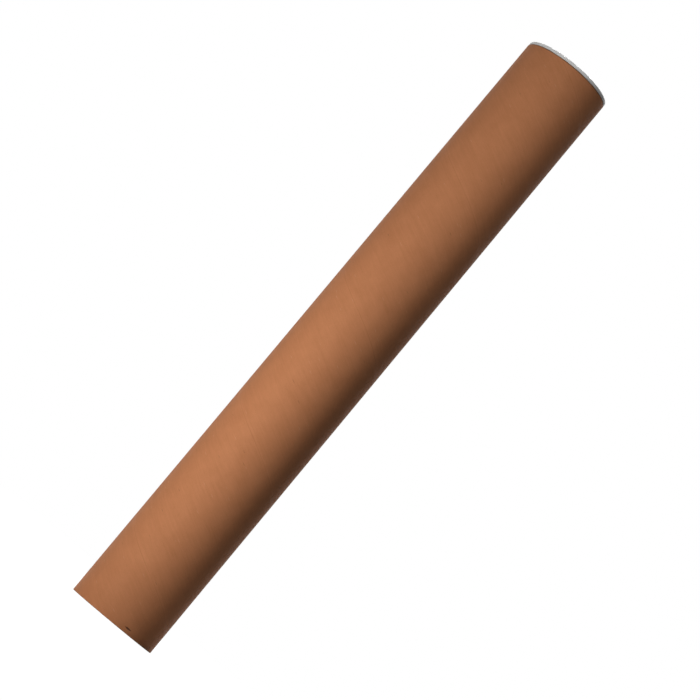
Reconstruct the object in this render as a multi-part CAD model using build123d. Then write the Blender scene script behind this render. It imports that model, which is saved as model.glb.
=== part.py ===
from build123d import *
import math
import os

# Cardboard mailing tube standing on its open end, with a plastic plug cap in the top.
# Millimetres, +Z up along the tube's axis. The origin is on the axis, in the plane of the cut edge
# that the tube stands on. The tube is one wound board wall; the cap is one moulded cup with a flange.

# Tube
BORE_DIAMETER = 80.0  # inside of the wound wall
WALL = 1.5  # all the glued plies together
TUBE_LENGTH = 600.0  # cut edge to cut edge
OUTER_EDGE_ROUND = 0.3  # burnished outer edge of each cut
INNER_EDGE_ROUND = 0.15

# Nick that a straight edge has pressed into the board near the open end
NICK_LENGTH = 8.0  # along the surface, square to the axis
NICK_WIDTH = 0.9  # mouth of the V at its middle
NICK_HEIGHT = 4.4  # above the open end's cut edge
NICK_BEARING = -70.0  # degrees about +Z from +X

# Plug cap
FLANGE_INSET = 0.2  # flange edge inside the tube's outer face
FLANGE_THICKNESS = 2.8
FLANGE_GAP = 0.3  # flange above the fibrous cut edge, when pushed home
FLANGE_TOP_ROUND = 0.9
FLANGE_UNDER_ROUND = 0.3
WELL_MOUTH_ROUND = 0.8  # where the flange turns down into the well
SKIRT_DEPTH = 17.0  # below the flange, to the outside of the cup's floor
SKIRT_WALL = 1.5
SKIRT_CLEARANCE = 0.35  # between bore and skirt, beside the flange
SKIRT_TAPER = 1.2  # degrees, so that the cup leads into the bore
LEAD_IN = 1.2  # chamfer at the foot of the skirt
FLOOR_THICKNESS = 1.6
WELL_FOOT_ROUND = 2.0  # inside corner of wall and floor
RIB_COUNT = 3  # sealing rings round the skirt
RIB_CLEARANCE = 0.1  # between bore and rib
RIB_ROUND = 0.5  # radius of a rib's crest
RIB_FIRST = 3.6  # first rib below the flange
RIB_PITCH = 4.2
PAD_DIAMETER = 30.0  # low raised disc in the middle of the well's floor
PAD_HEIGHT = 0.5
GATE_DIAMETER = 4.0  # sunk ring round the moulding gate
GATE_DEPTH = 0.4
GATE_STUB_DIAMETER = 1.6
GATE_STUB_HEIGHT = 0.3

bore_radius = BORE_DIAMETER / 2
outer_radius = bore_radius + WALL


def turned(section):
    """The solid that a section in the XZ plane makes when it is turned about +Z."""
    return revolve(section, axis=Axis.Z)


def disc(diameter, low, high):
    """A plain disc on the axis, from one height to another."""
    body = Cylinder(diameter / 2, high - low, align=(Align.CENTER, Align.CENTER, Align.MIN))
    return Pos(0, 0, low) * body


def corner_at(section, radius, height):
    """The corner of a section in the XZ plane that is nearest to a radius and a height."""
    return section.vertices().sort_by_distance((radius, 0, height))[0]


def nick_cutter():
    """A straight V edge laid across the tube, as deep as its length on the round wall allows."""
    half = NICK_LENGTH / 2
    depth = outer_radius - math.sqrt(outer_radius**2 - half**2)
    reach = 2 * depth  # how far the V opens outwards from its edge
    spread = NICK_WIDTH / 2 * reach / depth
    edge = outer_radius - depth
    vee = Polyline(
        (edge, 0, 0),
        (edge + reach, 0, spread),
        (edge + reach, 0, -spread),
        close=True,
    )
    bar = extrude(make_face(vee), amount=NICK_LENGTH, dir=(0, 1, 0), both=True)
    return Rot(0, 0, NICK_BEARING) * Pos(0, 0, NICK_HEIGHT) * bar


def make_tube():
    """The wound board wall, with its two cut edges and the nick."""
    wall = make_face(
        Polyline(
            (bore_radius, 0, 0),
            (outer_radius, 0, 0),
            (outer_radius, 0, TUBE_LENGTH),
            (bore_radius, 0, TUBE_LENGTH),
            close=True,
        )
    )
    ends = (0, TUBE_LENGTH)
    wall = fillet([corner_at(wall, outer_radius, z) for z in ends], OUTER_EDGE_ROUND)
    wall = fillet([corner_at(wall, bore_radius, z) for z in ends], INNER_EDGE_ROUND)
    return turned(wall) - nick_cutter()


def cup_section(seat):
    """Half section of the plug: flange, tapered skirt and floor, as one outline with rounded corners."""
    slope = math.tan(math.radians(SKIRT_TAPER))
    skirt_top = bore_radius - SKIRT_CLEARANCE
    skirt_foot = skirt_top - SKIRT_DEPTH * slope
    lead_top = skirt_top - (SKIRT_DEPTH - LEAD_IN) * slope
    flange_edge = outer_radius - FLANGE_INSET
    top = seat + FLANGE_THICKNESS
    foot = seat - SKIRT_DEPTH
    floor = foot + FLOOR_THICKNESS
    well_mouth = skirt_top + FLANGE_THICKNESS * slope - SKIRT_WALL
    well_foot = well_mouth - (top - floor) * slope
    section = make_face(
        Polyline(
            (0, 0, foot),
            (skirt_foot - LEAD_IN, 0, foot),
            (lead_top, 0, foot + LEAD_IN),
            (skirt_top, 0, seat),
            (flange_edge, 0, seat),
            (flange_edge, 0, top),
            (well_mouth, 0, top),
            (well_foot, 0, floor),
            (0, 0, floor),
            close=True,
        )
    )
    rounds = (
        (flange_edge, top, FLANGE_TOP_ROUND),
        (flange_edge, seat, FLANGE_UNDER_ROUND),
        (well_mouth, top, WELL_MOUTH_ROUND),
        (well_foot, floor, WELL_FOOT_ROUND),
    )
    for radius, height, size in rounds:
        section = fillet(corner_at(section, radius, height), size)
    return section


def sealing_rib(height):
    """One round-crested ring on the skirt, which nearly meets the bore."""
    crest = bore_radius - RIB_CLEARANCE
    return Pos(0, 0, height) * Torus(crest - RIB_ROUND, RIB_ROUND)


def make_end_cap():
    """The moulded plug, pushed home in the top of the tube."""
    seat = TUBE_LENGTH + FLANGE_GAP
    floor = seat - SKIRT_DEPTH + FLOOR_THICKNESS
    cap = turned(cup_section(seat))
    for number in range(RIB_COUNT):
        cap += sealing_rib(seat - RIB_FIRST - number * RIB_PITCH)
    pad_top = floor + PAD_HEIGHT
    cap += disc(PAD_DIAMETER, floor, pad_top)
    cap -= disc(GATE_DIAMETER, pad_top - GATE_DEPTH, pad_top)
    cap += disc(GATE_STUB_DIAMETER, pad_top - GATE_DEPTH, pad_top - GATE_DEPTH + GATE_STUB_HEIGHT)
    return cap


PARTS = {
    "tube": make_tube,
    "end_cap": make_end_cap,
}

os.makedirs("parts", exist_ok=True)
for name, make in PARTS.items():
    export_step(make(), f"parts/{name}.step")
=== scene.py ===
import math
import bpy
from mathutils import Matrix, Vector


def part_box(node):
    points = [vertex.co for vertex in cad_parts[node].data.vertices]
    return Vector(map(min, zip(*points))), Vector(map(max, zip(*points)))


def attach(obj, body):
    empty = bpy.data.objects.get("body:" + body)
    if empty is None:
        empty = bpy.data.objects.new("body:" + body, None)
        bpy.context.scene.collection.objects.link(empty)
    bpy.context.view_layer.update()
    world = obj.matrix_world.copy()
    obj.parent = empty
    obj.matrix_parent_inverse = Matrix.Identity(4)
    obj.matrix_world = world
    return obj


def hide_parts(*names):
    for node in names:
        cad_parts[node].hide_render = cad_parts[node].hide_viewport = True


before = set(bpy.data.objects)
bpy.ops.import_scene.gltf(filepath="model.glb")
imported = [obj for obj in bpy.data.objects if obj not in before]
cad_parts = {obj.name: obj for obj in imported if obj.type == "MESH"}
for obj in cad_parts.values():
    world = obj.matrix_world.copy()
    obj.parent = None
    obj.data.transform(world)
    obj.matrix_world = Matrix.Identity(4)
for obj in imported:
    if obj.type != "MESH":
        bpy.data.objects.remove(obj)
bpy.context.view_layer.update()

mm = 0.001
fullTurn = 2 * math.pi


# a socket that sums can be written with: each operator adds a Math node
class Sock:
    def __init__(self, graph, socket):
        self.graph = graph
        self.socket = socket

    def maths(self, kind, *values):
        return self.graph.add("ShaderNodeMath", {"operation": kind}, dict(enumerate(values)))

    def __add__(self, value):
        return self.maths("ADD", self, value)

    def __radd__(self, value):
        return self.maths("ADD", value, self)

    def __sub__(self, value):
        return self.maths("SUBTRACT", self, value)

    def __rsub__(self, value):
        return self.maths("SUBTRACT", value, self)

    def __mul__(self, value):
        return self.maths("MULTIPLY", self, value)

    def __rmul__(self, value):
        return self.maths("MULTIPLY", value, self)

    def __truediv__(self, value):
        return self.maths("DIVIDE", self, value)

    def __rtruediv__(self, value):
        return self.maths("DIVIDE", value, self)

    def __gt__(self, value):
        return self.maths("GREATER_THAN", self, value)

    def __abs__(self):
        return self.maths("ABSOLUTE", self)

    def least(self, value):
        return self.maths("MINIMUM", self, value)

    def most(self, value):
        return self.maths("MAXIMUM", self, value)

    def floor(self):
        return self.maths("FLOOR", self)

    def root(self):
        return self.maths("SQRT", self)

    def sine(self):
        return self.maths("SINE", self)

    def cosine(self):
        return self.maths("COSINE", self)

    def offWhole(self):
        # distance from the nearest whole number
        return abs(self - (self + 0.5).floor())

    def fade(self, start, end, low=0.0, high=1.0):
        # smooth change from low at start to high at end
        places = {"Value": self, "From Min": start, "From Max": end, "To Min": low, "To Max": high}
        return self.graph.add("ShaderNodeMapRange", {"interpolation_type": "SMOOTHSTEP"}, places)

    def other(self, name):
        # another output of the same node
        return Sock(self.graph, self.socket.node.outputs[name])


class Graph:
    def __init__(self, tree):
        self.tree = tree

    def add(self, kind, settings=None, sockets=None, out=0):
        node = self.tree.nodes.new(kind)
        for name, value in (settings or {}).items():
            setattr(node, name, value)
        for key, value in (sockets or {}).items():
            for item in value if isinstance(value, list) else [value]:
                if isinstance(item, Sock):
                    self.tree.links.new(item.socket, node.inputs[key])
                else:
                    node.inputs[key].default_value = item
        return Sock(self, node.outputs[out]) if len(node.outputs) else None

    def vector(self, x, y, z):
        return self.add("ShaderNodeCombineXYZ", None, {"X": x, "Y": y, "Z": z})

    def noise(self, vector, scale, detail=2.0, roughness=0.5):
        sockets = {"Vector": vector, "Scale": scale, "Detail": detail, "Roughness": roughness}
        return self.add("ShaderNodeTexNoise", None, sockets)

    def mix(self, factor, first, second):
        # a colour mix has its factor in place 0 and its colours in places 6 and 7
        sockets = {0: factor, 6: first, 7: second}
        return self.add("ShaderNodeMix", {"data_type": "RGBA"}, sockets, out=2)


def newMaterial(name):
    material = bpy.data.materials.new(name)
    material.use_nodes = True
    material.node_tree.nodes.clear()
    return material, Graph(material.node_tree)


def finishMaterial(graph, sockets):
    shader = graph.add("ShaderNodeBsdfPrincipled", None, sockets)
    graph.add("ShaderNodeOutputMaterial", None, {"Surface": shader})


def newTree(name, inputs):
    # a geometry tree with a named input for each value
    tree = bpy.data.node_groups.new(name, "GeometryNodeTree")
    for label in inputs:
        tree.interface.new_socket(name=label, in_out="INPUT", socket_type="NodeSocketFloat")
    tree.interface.new_socket(name="Geometry", in_out="OUTPUT", socket_type="NodeSocketGeometry")
    graph = Graph(tree)
    entry = graph.add("NodeGroupInput")
    return graph, {label: entry.other(label) for label in inputs}


def growMesh(name, graph, inputs):
    # runs the tree on an empty mesh and keeps the result as a plain mesh
    maker = bpy.data.objects.new(name + "Maker", bpy.data.meshes.new(name + "Maker"))
    bpy.context.scene.collection.objects.link(maker)
    modifier = maker.modifiers.new("grow", "NODES")
    modifier.node_group = graph.tree
    for item in graph.tree.interface.items_tree:
        if item.in_out == "INPUT":
            modifier[item.identifier] = inputs[item.name]
    grown = maker.evaluated_get(bpy.context.evaluated_depsgraph_get())
    mesh = bpy.data.meshes.new_from_object(grown)
    maker.modifiers.remove(modifier)
    bpy.data.objects.remove(maker)
    mesh.name = name
    piece = bpy.data.objects.new(name, mesh)
    bpy.context.scene.collection.objects.link(piece)
    return piece


# the camera looks slightly up and is rolled, so the standing tube leans across the view

cameraForm = {
    "distance": 2.1449,  # from the tube's axis
    "height": 0.0384,  # above what the tube stands on
    "pan": 0.2145,  # degrees to the right of the tube
    "tilt": 6.9668,  # degrees up
    "roll": 39.7749,  # degrees, so that the tube leans over to the upper right
    "lens": 132.18,
}


def placeCamera(form):
    pan, tilt, roll = (math.radians(form[key]) for key in ("pan", "tilt", "roll"))
    forward = Vector((math.sin(pan) * math.cos(tilt), math.cos(pan) * math.cos(tilt), math.sin(tilt)))
    level = forward.cross(Vector((0, 0, 1))).normalized()
    upright = level.cross(forward)
    right = level * math.cos(roll) + upright * math.sin(roll)
    up = upright * math.cos(roll) - level * math.sin(roll)
    turned = Matrix((right, up, -forward)).transposed().to_4x4()
    data = bpy.data.cameras.new("camera")
    data.lens = form["lens"]
    data.sensor_width = 36
    data.clip_start = 0.05
    data.clip_end = 100
    camera = bpy.data.objects.new("camera", data)
    camera.matrix_world = Matrix.Translation((0, -form["distance"], form["height"])) @ turned
    bpy.context.scene.collection.objects.link(camera)
    bpy.context.scene.camera = camera


placeCamera(cameraForm)
print("camera placed")


# lamps, floor and air

lampForm = {
    # degrees from the front towards the left, height, aim on the axis, distance, width, length, strength
    "key": (40, 0.14, 0.14, 0.9, 0.45, 0.25, 3.45),
    "stripLow": (26, 0.2, 0.2, 0.17, 0.05, 0.34, 0.1),
    "stripHigh": (4, 0.52, 0.52, 0.17, 0.05, 0.28, 0.06),
    "top": (0, 1.2, 0.6, 0.0, 0.3, 0.3, 1.0),
    "back": (180, 1.4, 0.35, 0.85, 0.35, 0.35, 8.0),
}
airForm = {
    "light": 0.01,  # what the air gives
    "seen": 1.0,  # how bright the air looks
    "floor": 0.45,  # the floor's own tone
    "floorNear": 0.93,  # how bright the floor is by itself round the tube, so that the shadow shows
    "floorFar": 1.0,
    "floorFade": (0.2, 0.7),  # from the tube's axis
    "floorReach": 6.0,
}


def placeLamps(forms):
    for name, (bearing, height, aim, away, width, tall, strength) in forms.items():
        bearing = math.radians(bearing)
        place = Vector((-math.sin(bearing) * away, -math.cos(bearing) * away, height))
        data = bpy.data.lights.new(name, "AREA")
        data.shape = "RECTANGLE"
        data.size = width
        data.size_y = tall
        data.energy = strength
        lamp = bpy.data.objects.new(name, data)
        lamp.location = place
        lamp.rotation_mode = "QUATERNION"
        lamp.rotation_quaternion = (place - Vector((0, 0, aim))).to_track_quat("Z", "Y")
        lamp.visible_camera = False
        bpy.context.scene.collection.objects.link(lamp)


def straightSeen(graph):
    # 1 for what the camera sees itself or in a mirror or through glass, 0 for light on its way
    rays = graph.add("ShaderNodeLightPath", out="Is Camera Ray")
    return rays.most(rays.other("Is Glossy Ray")).most(rays.other("Is Transmission Ray"))


def makeAir(form):
    world = bpy.data.worlds.new("air")
    world.use_nodes = True
    world.node_tree.nodes.clear()
    bpy.context.scene.world = world
    graph = Graph(world.node_tree)
    strength = straightSeen(graph) * (form["seen"] - form["light"]) + form["light"]
    air = graph.add("ShaderNodeBackground", None, {"Color": (1, 1, 1, 1), "Strength": strength})
    graph.add("ShaderNodeOutputWorld", None, {"Surface": air})

    material, graph = newMaterial("paleFloor")
    tone = form["floor"]
    plain = graph.add("ShaderNodeBsdfDiffuse", None, {"Color": (tone, tone, tone, 1)})
    x = graph.add("ShaderNodeSeparateXYZ", None, {0: graph.add("ShaderNodeTexCoord", out="Object")})
    away = (x * x + x.other("Y") * x.other("Y")).root()
    paleness = away.fade(*form["floorFade"], form["floorNear"], form["floorFar"])
    glow = graph.add("ShaderNodeEmission", None, {"Color": (1, 1, 1, 1), "Strength": paleness})
    bright = graph.add("ShaderNodeAddShader", None, {0: plain, 1: glow})
    floor = graph.add("ShaderNodeMixShader", None, {0: straightSeen(graph), 1: plain, 2: bright})
    graph.add("ShaderNodeOutputMaterial", None, {"Surface": floor})
    reach = form["floorReach"]
    mesh = bpy.data.meshes.new("floor")
    corners = [(-reach, -reach, 0), (reach, -reach, 0), (reach, reach, 0), (-reach, reach, 0)]
    mesh.from_pydata(corners, [], [(0, 1, 2, 3)])
    mesh.materials.append(material)
    piece = bpy.data.objects.new("floor", mesh)
    bpy.context.scene.collection.objects.link(piece)


bpy.context.scene.view_settings.view_transform = "Standard"
placeLamps(lampForm)
makeAir(airForm)
print("lamps, floor and air placed")


# the tube: one closed wall, with its winding in the face and the bore

low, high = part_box("tube")
tubeForm = {
    "Seam Lift": 0.03 * mm,  # the outer ply's edges stand this proud
    "Seam Gap Depth": 0.05 * mm,
    "Seam Gap": 0.7 * mm,
    "Seam Height": 15.0 * mm,  # where the outer ply's seam crosses +X
    "Liner Gap Depth": 0.2 * mm,
    "Liner Gap": 1.1 * mm,
    "Liner Seam Height": 88.0 * mm,
    "Ply Pitch": 136.0 * mm,  # along the axis, for one turn of a 120 mm wide ply
    "Ply": 0.3 * mm,
    "Bore Radius": 40.0 * mm,
    "Outer Round": 0.3 * mm,
    "Bore Round": 0.15 * mm,
    "Ply Line Depth": 0.06 * mm,
    "Fuzz": 0.05 * mm,  # how far the sawn fibres are uneven
    "Nick Height": 4.4 * mm,
    "Nick Length": 8.0 * mm,
    "Nick Width": 0.9 * mm,
    "Nick Depth": 0.19 * mm,
    "Nick Bearing": -70.0,  # degrees about +Z from +X
    "Base": low.z,
    "Top": high.z,
    "Face Radius": (high.x - low.x) / 2,
}
tubeMesh = {
    "columns": 256,
    "rowsPerTurn": 22,
    "linerRowsPerTurn": 16,
    "turns": 7,  # more than the tube's length takes, so that both ends are covered
    "crowding": 0.97,  # 0 for even rows, towards 1 for rows that crowd at the seam
    "nickBand": 8.0 * mm,  # the lowest part of the wall, with rows close enough for the nick
    "bandRows": 52,
    "ringRows": 31,
    "closer": 0.003 * mm,  # points nearer than this become one
}
surfaces = {"ply": 0.0, "cut": 1.0, "liner": 2.0}  # kinds of surface, told apart by the zone attribute


def sheetPoints(graph, columns, rows):
    # a sheet of points, with each point's turn round the tube (0 to 1) and its row
    sheet = graph.add("GeometryNodeMeshGrid", None, {"Vertices X": columns + 1, "Vertices Y": rows})
    index = graph.add("GeometryNodeInputIndex")
    column = ((index + 0.5) / rows).floor()
    return sheet, column / columns, index - column * rows


def setRound(graph, sheet, turn, radius, height, zone, flip):
    # moves the points to their places round +Z, and names the kind of surface
    angle = turn * fullTurn
    place = graph.vector(angle.cosine() * radius, angle.sine() * radius, height)
    moved = graph.add("GeometryNodeSetPosition", None, {"Geometry": sheet, "Position": place})
    settings = {"data_type": "FLOAT", "domain": "FACE"}
    sockets = {"Geometry": moved, "Name": "zone", "Value": zone}
    named = graph.add("GeometryNodeStoreNamedAttribute", settings, sockets)
    return graph.add("GeometryNodeFlipFaces", None, {"Mesh": named}) if flip else named


def lapRows(form, turn, row, rowsPerTurn, seamHeight, floor, ceiling):
    # heights for rows that follow the winding and crowd together at the seam, cut off level at the ends
    step = row / rowsPerTurn
    crowded = step - (step * fullTurn).sine() * (tubeMesh["crowding"] / fullTurn)
    return ((crowded - turn - 1.0) * form["Ply Pitch"] + seamHeight).most(floor).least(ceiling)


def seamDistance(form, turn, height, seamHeight):
    pitch = form["Ply Pitch"]
    lay = math.cos(math.atan(tubeForm["Ply Pitch"] / (fullTurn * tubeForm["Face Radius"])))
    return ((height + turn * pitch - seamHeight) / pitch).offWhole() * pitch * lay


def nickShape(form, turn, height):
    # how far inside the nick's length a place is (1 in the middle), and how far off its line
    arc = (turn - form["Nick Bearing"] / 360).offWhole() * fullTurn * form["Face Radius"]
    share = arc * 2 / form["Nick Length"]
    return 1.0 - share * share, abs(height - form["Nick Height"]) * 2 / form["Nick Width"]


def outerRadius(form, turn, height):
    fromSeam = seamDistance(form, turn, height, form["Seam Height"])
    lift = fromSeam.fade(0.0, 4.0 * mm, form["Seam Lift"], 0.0)
    gap = fromSeam.fade(form["Seam Gap"] * 0.2, form["Seam Gap"] * 0.6, form["Seam Gap Depth"], 0.0)
    floor = form["Base"] + form["Outer Round"]
    ceiling = form["Top"] - form["Outer Round"]
    calm = (height - floor).fade(0.0, 1.5 * mm) * (ceiling - height).fade(0.0, 1.5 * mm)
    along, across = nickShape(form, turn, height)
    nick = ((along - across) * form["Nick Depth"]).most(0.0)
    return form["Face Radius"] - form["Seam Lift"] + (lift - gap) * calm - nick


def linerRadius(form, turn, height):
    fromSeam = seamDistance(form, turn, height, form["Liner Seam Height"])
    gap = fromSeam.fade(form["Liner Gap"] * 0.3, form["Liner Gap"] * 0.6, form["Liner Gap Depth"], 0.0)
    floor = form["Base"] + form["Bore Round"]
    ceiling = form["Top"] - form["Bore Round"]
    calm = (height - floor).fade(0.0, 1.0 * mm) * (ceiling - height).fade(0.0, 1.0 * mm)
    return form["Bore Radius"] + gap * calm


def cutRing(graph, form, top):
    # the sawn edge: both rounded corners, and the plies between them
    rows = tubeMesh["ringRows"]
    sheet, turn, row = sheetPoints(graph, tubeMesh["columns"], rows)
    face = form["Face Radius"] - form["Seam Lift"]
    wall = face - form["Bore Radius"]
    inward = row * wall / (rows - 1)
    outward = wall - inward
    nearFace = (form["Outer Round"] - inward).most(0.0)
    nearBore = (form["Bore Round"] - outward).most(0.0)
    drop = form["Outer Round"] - (form["Outer Round"] * form["Outer Round"] - nearFace * nearFace).root()
    drop = drop + form["Bore Round"] - (form["Bore Round"] * form["Bore Round"] - nearBore * nearBore).root()
    flat = inward.fade(0.1 * mm, 0.3 * mm) * outward.fade(0.05 * mm, 0.15 * mm)
    line = (1.0 - (inward / form["Ply"]).offWhole() * 6).most(0.0) * form["Ply Line Depth"]
    angle = turn * fullTurn
    where = graph.vector(angle.cosine(), angle.sine(), inward * 60 + (5.0 if top else 0.0))
    fuzz = graph.noise(where, 45.0, 3.0, 0.7).fade(0.35, 0.75) * form["Fuzz"]
    drop = drop + (line + fuzz) * flat
    height = form["Top"] - drop if top else form["Base"] + drop
    zone = inward > 0.22 * mm
    return setRound(graph, sheet, turn, face - inward, height, zone, not top)


def growTube(plyMaterial, cutMaterial, linerMaterial):
    graph, form = newTree("woundTube", tubeForm)
    columns, turns = tubeMesh["columns"], tubeMesh["turns"]
    parts = []
    # the lowest band of the face
    rows = tubeMesh["bandRows"]
    sheet, turn, row = sheetPoints(graph, columns, rows)
    floor = form["Base"] + form["Outer Round"]
    height = floor + row * (tubeMesh["nickBand"] - form["Outer Round"]) / (rows - 1)
    radius = outerRadius(form, turn, height)
    parts.append(setRound(graph, sheet, turn, radius, height, surfaces["ply"], False))
    # the rest of the face
    rowsPerTurn = tubeMesh["rowsPerTurn"]
    sheet, turn, row = sheetPoints(graph, columns, turns * rowsPerTurn + 1)
    floor = form["Base"] + tubeMesh["nickBand"]
    ceiling = form["Top"] - form["Outer Round"]
    height = lapRows(form, turn, row, rowsPerTurn, form["Seam Height"], floor, ceiling)
    radius = outerRadius(form, turn, height)
    parts.append(setRound(graph, sheet, turn, radius, height, surfaces["ply"], False))
    # the bore
    rowsPerTurn = tubeMesh["linerRowsPerTurn"]
    sheet, turn, row = sheetPoints(graph, columns, turns * rowsPerTurn + 1)
    floor = form["Base"] + form["Bore Round"]
    ceiling = form["Top"] - form["Bore Round"]
    height = lapRows(form, turn, row, rowsPerTurn, form["Liner Seam Height"], floor, ceiling)
    radius = linerRadius(form, turn, height)
    parts.append(setRound(graph, sheet, turn, radius, height, surfaces["liner"], True))
    parts.append(cutRing(graph, form, False))
    parts.append(cutRing(graph, form, True))

    joined = graph.add("GeometryNodeJoinGeometry", None, {"Geometry": parts})
    sockets = {"Geometry": joined, "Distance": tubeMesh["closer"]}
    closed = graph.add("GeometryNodeMergeByDistance", None, sockets)
    smooth = graph.add("GeometryNodeSetShadeSmooth", None, {"Geometry": closed})
    zone = graph.add("GeometryNodeInputNamedAttribute", {"data_type": "FLOAT"}, {"Name": "zone"})
    made = graph.add("GeometryNodeRealizeInstances", None, {"Geometry": smooth})
    made = graph.add("GeometryNodeSetMaterial", None, {"Geometry": made, "Material": plyMaterial})
    for surface, material in (("cut", cutMaterial), ("liner", linerMaterial)):
        sockets = {"Geometry": made, "Selection": zone > surfaces[surface] - 0.5, "Material": material}
        made = graph.add("GeometryNodeSetMaterial", None, sockets)
    graph.add("NodeGroupOutput", None, {"Geometry": made})
    return growMesh("tubeWall", graph, tubeForm)


def windingSpace(graph):
    # a place, its turn about the axis, height and radius, and an angle that is the same all along a ply
    place = graph.add("ShaderNodeTexCoord", out="Object")
    x = graph.add("ShaderNodeSeparateXYZ", None, {0: place})
    y, z = x.other("Y"), x.other("Z")
    angle = x.maths("ARCTAN2", y, x)
    radius = (x * x + y * y).root()
    twisted = angle + z * (fullTurn / tubeForm["Ply Pitch"])
    return place, angle / fullTurn, z, radius, twisted


def alongPly(graph, radius, twisted, z, stretch):
    return graph.vector(twisted.cosine() * radius, twisted.sine() * radius, z * stretch)


def addSpecks(graph, colour, speckColour, form, radius, twisted, z):
    # a small soft speck in a share of the cells, its size a share of the cell's
    sockets = {"Vector": alongPly(graph, radius, twisted, z, form["stretch"]), "Scale": form["scale"]}
    cells = graph.add("ShaderNodeTexVoronoi", None, sockets, out="Distance")
    lot = graph.add("ShaderNodeSeparateColor", None, {0: cells.other("Color")})
    speck = cells.fade(form["size"] * 0.5, form["size"], 1.0, 0.0) * (lot > 1.0 - form["share"])
    return graph.mix(speck * form["strength"], colour, speckColour)


kraftForm = {
    "deep": (0.478, 0.186, 0.079, 1),
    "pale": (0.634, 0.262, 0.121, 1),
    "fleck": (0.170, 0.075, 0.040, 1),
    "straw": (0.700, 0.400, 0.230, 1),
    # dark colour for the crushed nick, also used for painted shade under the cap's flange
    "crushedAndShaded": (0.130, 0.058, 0.032, 1),
    "roughness": 0.6,
    "gloss": 0.16,
    "glossTint": (1.0, 0.66, 0.42, 1),
    "clouds": 0.7,  # contrast of soft clouds in the sheet
    "cloudScale": 70.0,
    "patches": 0.6,
    "patchScale": 210.0,
    "patchStretch": 0.4,
    "fibres": 0.40,  # contrast of the fibres that lie along the ply
    "fibreScale": 900.0,
    "fibreStretch": 0.3,
    "grain": 0.55,
    "grainScale": 1500.0,
    "flecks": {"scale": 170.0, "size": 0.11, "share": 0.12, "stretch": 0.7, "strength": 0.45},
    "straws": {"scale": 240.0, "size": 0.16, "share": 0.2, "stretch": 0.6, "strength": 0.35},
    "seam": 0.08,  # how much paler the rubbed seam is
    "gap": 0.35,  # how much darker the line between two laps is
    "frayed": 0.15,  # how much paler the worn edges are
    "flangeShade": 0.5,  # painted shade: a dark line under the cap's flange
    # how dark the nick's line is: crushed fibres, with painted shade in the crease
    "crushAndShade": 0.95,
    "tooth": 0.04 * mm,  # height of the paper's surface
}


def makeKraft(form):
    material, graph = newMaterial("plyKraft")
    place, turn, z, radius, twisted = windingSpace(graph)
    clouds = graph.noise(place, form["cloudScale"], 4.0, 0.6)
    patchLay = alongPly(graph, radius, twisted, z, form["patchStretch"])
    patches = graph.noise(patchLay, form["patchScale"], 3.0, 0.6)
    fibreLay = alongPly(graph, radius, twisted, z, form["fibreStretch"])
    fibres = graph.noise(fibreLay, form["fibreScale"], 3.0, 0.6)
    grain = graph.noise(place, form["grainScale"], 2.0, 0.6)
    tone = (clouds - 0.5) * form["clouds"] + (patches - 0.5) * form["patches"]
    tone = tone + (fibres - 0.5) * form["fibres"] + (grain - 0.5) * form["grain"] + 0.5
    fromSeam = seamDistance(tubeForm, turn, z, tubeForm["Seam Height"])
    rubbed = fromSeam.fade(0.3 * mm, 3.5 * mm, 1.0, 0.0)
    gap = fromSeam.fade(0.1 * mm, 0.4 * mm, 1.0, 0.0)
    edge = (z - tubeForm["Base"]).least(tubeForm["Top"] - z)
    frayed = (edge - (fibres - 0.5) * 0.8 * mm).fade(0.1 * mm, 0.7 * mm, 1.0, 0.0)
    tone = tone + rubbed * form["seam"] - gap * form["gap"] + frayed * form["frayed"]
    colour = graph.mix(tone, form["deep"], form["pale"])
    colour = addSpecks(graph, colour, form["fleck"], form["flecks"], radius, twisted, z)
    colour = addSpecks(graph, colour, form["straw"], form["straws"], radius, twisted, z)
    # painted shade: darker just below the top edge, where the cap's flange shades the kraft
    flangeShadeMask = (tubeForm["Top"] - z + (fibres - 0.5) * 0.6 * mm).fade(0.2 * mm, 1.3 * mm, 1.0, 0.0)
    colour = graph.mix(flangeShadeMask * form["flangeShade"], colour, form["crushedAndShaded"])
    # the nick's line: darker from crushed fibres and partly from painted shade in the crease
    along, across = nickShape(tubeForm, turn, z + (fibres - 0.5) * 0.5 * mm)
    crushedAndShaded = (along * 1.6 - across * 0.8).fade(0.0, 0.7)
    colour = graph.mix(crushedAndShaded * form["crushAndShade"], colour, form["crushedAndShaded"])
    roughness = form["roughness"] + (patches - 0.5) * 0.16 + (grain - 0.5) * 0.1 - rubbed * 0.05
    height = fibres * 0.6 + grain * 0.5 + clouds * 0.4
    bump = graph.add("ShaderNodeBump", None, {"Height": height, "Distance": form["tooth"], "Strength": 0.6})
    finishMaterial(
        graph,
        {
            "Base Color": colour,
            "Roughness": roughness,
            "Normal": bump,
            "Specular IOR Level": form["gloss"],
            "Specular Tint": form["glossTint"],
        },
    )
    return material


boardForm = {
    "deep": (0.215, 0.140, 0.085, 1),
    "pale": (0.400, 0.285, 0.190, 1),
    "glue": (0.120, 0.075, 0.045, 1),
    "fleck": (0.080, 0.060, 0.050, 1),
    "roughness": 0.85,
    "tooth": 0.08 * mm,
    "cutTone": 0.35,  # 0 for the deep colour, 1 for the pale one
    "cutGrainScale": 2200.0,
    "cutGlue": 0.55,
    "linerTone": 0.62,
    "linerFibreScale": 800.0,
    "linerFibreStretch": 0.3,
    "linerCloudScale": 90.0,
    "linerGrainScale": 1400.0,
    "linerGap": 0.6,
    "flecks": {"scale": 240.0, "size": 0.2, "share": 0.4, "stretch": 0.5, "strength": 0.6},
}


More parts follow.
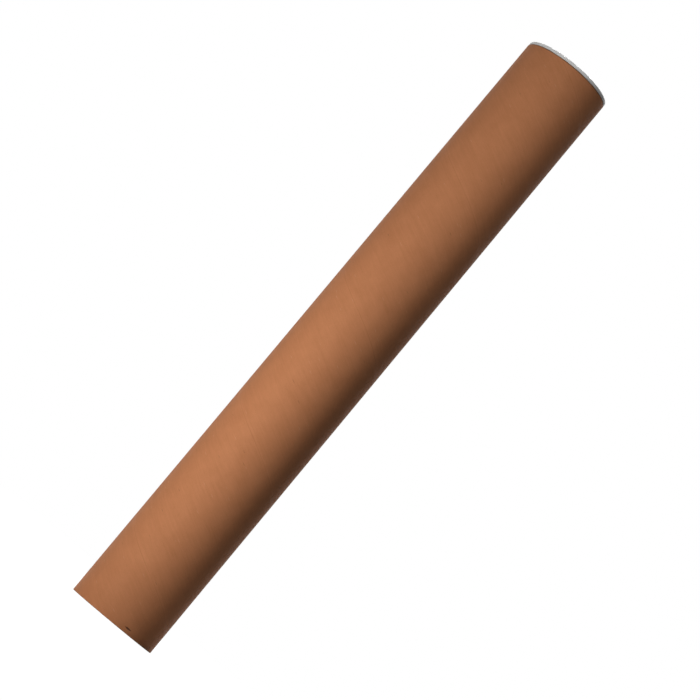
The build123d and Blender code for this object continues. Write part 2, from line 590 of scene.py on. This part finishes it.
def makeCut(form):
    # bare board where the tube was sawn: plies of slightly different tone, with glue between them
    material, graph = newMaterial("cutBoard")
    place, turn, z, radius, twisted = windingSpace(graph)
    depth = (tubeForm["Face Radius"] - radius) / tubeForm["Ply"]
    ply = graph.add("ShaderNodeTexWhiteNoise", {"noise_dimensions": "1D"}, {"W": depth.floor()}, out="Value")
    fibres = graph.noise(graph.vector(turn * 260.0, depth * 0.8, z * 900.0), 1.5, 3.0, 0.7)
    grain = graph.noise(place, form["cutGrainScale"], 2.0, 0.6)
    tone = form["cutTone"] + (ply - 0.5) * 0.35 + (fibres - 0.5) * 0.6 + (grain - 0.5) * 0.5
    colour = graph.mix(tone, form["deep"], form["pale"])
    glue = depth.offWhole().fade(0.03, 0.12, 1.0, 0.0)
    colour = graph.mix(glue * form["cutGlue"], colour, form["glue"])
    sockets = {"Height": fibres + grain, "Distance": form["tooth"], "Strength": 0.8}
    bump = graph.add("ShaderNodeBump", None, sockets)
    finishMaterial(graph, {"Base Color": colour, "Roughness": form["roughness"], "Normal": bump})
    return material


def makeLiner(form):
    # grey-brown board inside the bore, with its own seam
    material, graph = newMaterial("linerBoard")
    place, turn, z, radius, twisted = windingSpace(graph)
    fibreLay = alongPly(graph, radius, twisted, z, form["linerFibreStretch"])
    fibres = graph.noise(fibreLay, form["linerFibreScale"], 3.0, 0.65)
    clouds = graph.noise(place, form["linerCloudScale"], 4.0, 0.65)
    grain = graph.noise(place, form["linerGrainScale"], 2.0, 0.6)
    tone = form["linerTone"] + (clouds - 0.5) * 0.7 + (fibres - 0.5) * 0.6 + (grain - 0.5) * 0.4
    fromSeam = seamDistance(tubeForm, turn, z, tubeForm["Liner Seam Height"])
    gap = fromSeam.fade(0.3 * mm, 0.65 * mm, 1.0, 0.0)
    colour = graph.mix(tone, form["deep"], form["pale"])
    colour = graph.mix(gap * form["linerGap"], colour, form["glue"])
    colour = addSpecks(graph, colour, form["fleck"], form["flecks"], radius, twisted, z)
    sockets = {"Height": fibres + grain, "Distance": form["tooth"], "Strength": 0.6}
    bump = graph.add("ShaderNodeBump", None, sockets)
    finishMaterial(graph, {"Base Color": colour, "Roughness": form["roughness"], "Normal": bump})
    return material


plyKraft = makeKraft(kraftForm)
cutBoard = makeCut(boardForm)
linerBoard = makeLiner(boardForm)
tubeWall = growTube(plyKraft, cutBoard, linerBoard)
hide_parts("tube")
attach(tubeWall, "tube")
print("tube wound:", len(tubeWall.data.polygons), "faces")


# the cap keeps its own shape and gets its plastic here

capForm = {
    "white": (0.870, 0.870, 0.855, 1),
    "dull": (0.790, 0.790, 0.770, 1),
    "roughness": 0.38,
    "tooth": 0.02 * mm,
    "grainScale": 2600.0,
    "flowScale": 45.0,
    "flow": 0.9,  # contrast of the slow change of tone from moulding
    "ringScale": 1500.0,
    "scuffs": 0.3,
}


def makePlastic(form):
    material, graph = newMaterial("capPlastic")
    place = graph.add("ShaderNodeTexCoord", out="Object")
    grain = graph.noise(place, form["grainScale"], 2.0, 0.6)
    flow = graph.noise(place, form["flowScale"], 3.0, 0.55)
    x = graph.add("ShaderNodeSeparateXYZ", None, {0: place})
    y, z = x.other("Y"), x.other("Z")
    radius = (x * x + y * y).root()
    rings = graph.noise(graph.vector(radius, z, 0.0), form["ringScale"], 2.0, 0.6)
    scuffs = graph.noise(graph.vector(x * 160.0, y * 1300.0, z * 500.0), 1.0, 3.0, 0.7)
    worn = scuffs.fade(0.58, 0.72)
    tone = (flow - 0.5) * form["flow"] + worn * form["scuffs"] + 0.25
    colour = graph.mix(tone, form["white"], form["dull"])
    roughness = form["roughness"] + worn * 0.15 + (flow - 0.5) * 0.15 + (rings - 0.5) * 0.1
    height = grain * 0.6 + rings * 0.5
    bump = graph.add("ShaderNodeBump", None, {"Height": height, "Distance": form["tooth"], "Strength": 0.5})
    finishMaterial(graph, {"Base Color": colour, "Roughness": roughness, "Normal": bump})
    return material


capPlastic = makePlastic(capForm)
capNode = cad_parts["end_cap"]
for place in capNode.material_slots:
    place.material = capPlastic
print("cap finished")
